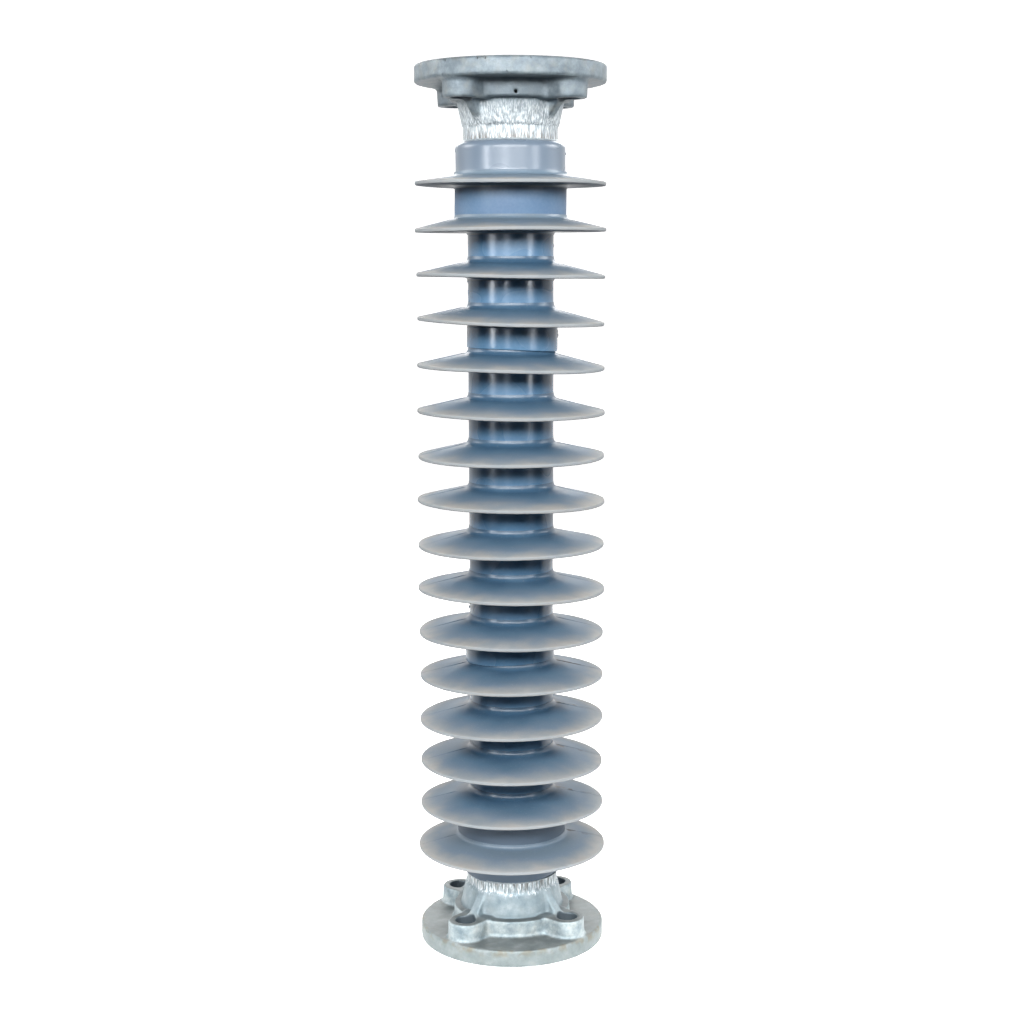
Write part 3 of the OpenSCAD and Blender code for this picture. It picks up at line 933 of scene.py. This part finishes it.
def surface_net(distance, low, high, step):
    """Points and outward quads on the surface where distance(p) is zero."""
    axes = [np.arange(a, b + step, step) for a, b in zip(low, high)]
    corner = np.stack(np.meshgrid(*axes, indexing="ij"), -1)
    inside = distance(corner) < 0
    ends = (slice(None, -1), slice(1, None))
    tally = sum(inside[pick].astype(int) for pick in itertools.product(ends, repeat=3))
    mixed = (tally > 0) & (tally < 8)
    number = np.full(mixed.shape, -1)
    number[mixed] = np.arange(mixed.sum())
    middle = corner[:-1, :-1, :-1][mixed] + step / 2
    points = middle.copy()
    for _ in range(NET_SLIDES):
        here = distance(points)
        probe = step * NET_PROBE
        slope = np.stack([distance(points + shift) - here
                          for shift in np.eye(3) * probe], -1) / probe
        points -= slope * (here / np.maximum((slope ** 2).sum(-1), FLATTEST))[:, None]
        points = np.clip(points, middle - NET_REACH * step, middle + NET_REACH * step)
    quads = []
    for axis in range(3):
        order = (axis, (axis + 1) % 3, (axis + 2) % 3)
        solid, cell = inside.transpose(order), number.transpose(order)
        near, far = solid[:-1, 1:-1, 1:-1], solid[1:, 1:-1, 1:-1]
        around = np.stack([cell[:, :-1, :-1], cell[:, 1:, :-1], cell[:, 1:, 1:],
                           cell[:, :-1, 1:]], -1)
        quads += [around[near & ~far], around[~near & far][:, ::-1]]
    return points, np.concatenate(quads)


# %% Cast flanges
NET_STEP = 1.3


def make_flange(node, upside_down, vent, seed):
    """The casting as a net, turned over for the upper flange, with its vent at an angle."""
    reach = PLATE_R + 2.5 * NET_STEP
    low, high = (-reach, -reach, -2.3), (reach, reach, SOCKET_LEN + 2)
    points, quads = surface_net(lambda p: casting(p, vent, seed), low, high, NET_STEP)
    if upside_down:
        points[:, 2] = POST_H - points[:, 2]
        quads = quads[:, ::-1]
    return mesh_object(node + "_casting", points, quads)


for node, upside_down, vent, seed, zinc in (
        ("lower_flange", False, math.pi / 2, 61, lower_zinc),
        ("upper_flange", True, -math.pi / 2, 62, upper_zinc)):
    stand_for(make_flange(node, upside_down, vent, seed), node, zinc)

# %% [markdown]
# ## Studio
# The post stands on a pale floor that curves up into a wall, so no horizon shows. Five soft
# boxes do the lighting: a wide low key in front, a large one overhead, one behind and one at
# each side. Three tall strips show only in reflections. They draw the long bright lines on
# the rubber and add nothing to its brightness otherwise.
#
# The floor next to the post is a disc of its own. It lights the metal from below and shows
# in reflections. The rest of the sweep lights nothing, and its front half isn't reflected,
# since both would fill in the dark bands under the sheds. In a real studio black cloth
# would do that job.

# %% Sweep
NEAR_SHEET_R = 400.0
BEND_START, BEND_R, WALL_TOP = 2600.0, 1000.0, 5000.0
FLOOR_DROP = 0.4  # keeps the floor off the plate's flat face
SHEET_STEPS = 97


def turned_sheet(name, profile, start, end):
    """A sheet: a profile of (radius, z) points turned about Z from one angle to another."""
    a = np.radians(np.linspace(start, end, SHEET_STEPS))[:, None]
    r, z = profile[None, :, 0] + 0 * a, profile[None, :, 1] + 0 * a
    points = np.stack([r * np.cos(a), r * np.sin(a), z], -1).reshape(-1, 3)
    quads = grid_quads(SHEET_STEPS, len(profile), False, False)
    return mesh_object(name, points, quads[:, ::-1])


paper, tree, surface, place = new_material("matt_white_paper", Roughness=0.85)
tree.links.new(blend_colours(tree, grain(tree, place, 60, 2.0), "#f3f3f2", "#f8f8f6"),
               surface.inputs["Base Color"])
surface.inputs["Emission Color"].default_value = colour("#ffffff")
surface.inputs["Emission Strength"].default_value = 0.8
t = np.linspace(0, math.pi / 2, 24)
bend = np.stack([BEND_START + BEND_R * np.sin(t), BEND_R - BEND_R * np.cos(t)], -1)
wall = [[BEND_START + BEND_R, WALL_TOP]]
bowl = np.concatenate([[[NEAR_SHEET_R, 0.0]], bend, wall]) - [0, FLOOR_DROP]
disc = np.array([[0.5, -FLOOR_DROP], [NEAR_SHEET_R, -FLOOR_DROP]])
near_sheet = turned_sheet("near_sheet", disc, 0, 360)
front_bowl = turned_sheet("front_bowl", bowl, 170, 360)
back_bowl = turned_sheet("back_bowl", bowl, 0, 170)
for sheet in (near_sheet, front_bowl, back_bowl):
    sheet.data.materials.append(paper)
front_bowl.visible_diffuse = back_bowl.visible_diffuse = False
front_bowl.visible_glossy = False


# %% Lights
def soft_box(name, azimuth, elevation, away, size, power):
    """A rectangular lamp that looks at the post's middle. Azimuth 0 is the front."""
    a, e = math.radians(azimuth), math.radians(elevation)
    middle = np.array([0, 0, POST_H / 2 * MM])
    place = middle + away * np.array(
        [math.sin(a) * math.cos(e), -math.cos(a) * math.cos(e), math.sin(e)])
    data = bpy.data.lights.new(name, "AREA")
    data.shape, data.size, data.size_y = "RECTANGLE", size[0], size[1]
    data.energy = power
    lamp = bpy.data.objects.new(name, data)
    lamp.matrix_world = (Matrix.Translation(place) @ Matrix.Rotation(a, 4, "Z")
                         @ Matrix.Rotation(math.pi / 2 - e, 4, "X"))
    bpy.context.scene.collection.objects.link(lamp)
    return lamp


CAMERA_AZIMUTH = -5.0
for name, azimuth, elevation, away, size, power in (
        ("key", 0, 22, 1.75, (2.4, 0.4), 68), ("overhead", 0, 80, 2.2, (2.0, 2.0), 23),
        ("back", 180, 30, 2.2, (2.2, 1.0), 33), ("left_side", -98, 25, 2.0, (1.0, 0.6), 20),
        ("right_side", 98, 25, 2.0, (1.0, 0.6), 23)):
    soft_box(name, CAMERA_AZIMUTH + azimuth, elevation, away, size, power)
STRIP_ELEVATION, STRIP_AWAY, STRIP_HEIGHT = 11.5, 1.9, 0.77
for name, azimuth, width, power in (("left_strip", -50, 0.30, 20.0),
                                    ("right_strip", 53, 0.25, 15.5),
                                    ("front_strip", -11, 0.16, 6.5)):
    strip = soft_box(name, CAMERA_AZIMUTH + azimuth, STRIP_ELEVATION, STRIP_AWAY,
                     (width, STRIP_HEIGHT), power)
    strip.visible_diffuse = False
world = bpy.data.worlds.new("studio")
world.use_nodes = True
world.node_tree.nodes["Background"].inputs[0].default_value = colour("#dfe6ee")
world.node_tree.nodes["Background"].inputs[1].default_value = 0.02
bpy.context.scene.world = world
bpy.context.scene.view_settings.view_transform = "Standard"
print("studio lit")

# %% [markdown]
# ## Camera
# A long lens from a metre and a half away, a little above the middle of the post and tipped
# down by eight degrees, so the upper sheds are seen edge-on and the lower ones from above.

# %% Camera
CAMERA_AWAY, CAMERA_HEIGHT = 1.5246, 0.6064
CAMERA_TIP, CAMERA_ROLL = math.radians(8.19), math.radians(-0.107)
LENS_MM = 61.5
SIDE_SHIFT = 0.0008

camera_data = bpy.data.cameras.new("camera")
camera_data.lens, camera_data.sensor_width = LENS_MM, 36.0
camera_data.shift_x = SIDE_SHIFT
camera = bpy.data.objects.new("camera", camera_data)
turn = math.radians(CAMERA_AZIMUTH)
place = (CAMERA_AWAY * math.sin(turn), -CAMERA_AWAY * math.cos(turn), CAMERA_HEIGHT)
camera.matrix_world = (Matrix.Translation(place) @ Matrix.Rotation(turn, 4, "Z")
                       @ Matrix.Rotation(math.pi / 2 - CAMERA_TIP, 4, "X")
                       @ Matrix.Rotation(CAMERA_ROLL, 4, "Z"))
bpy.context.scene.collection.objects.link(camera)
bpy.context.scene.camera = camera
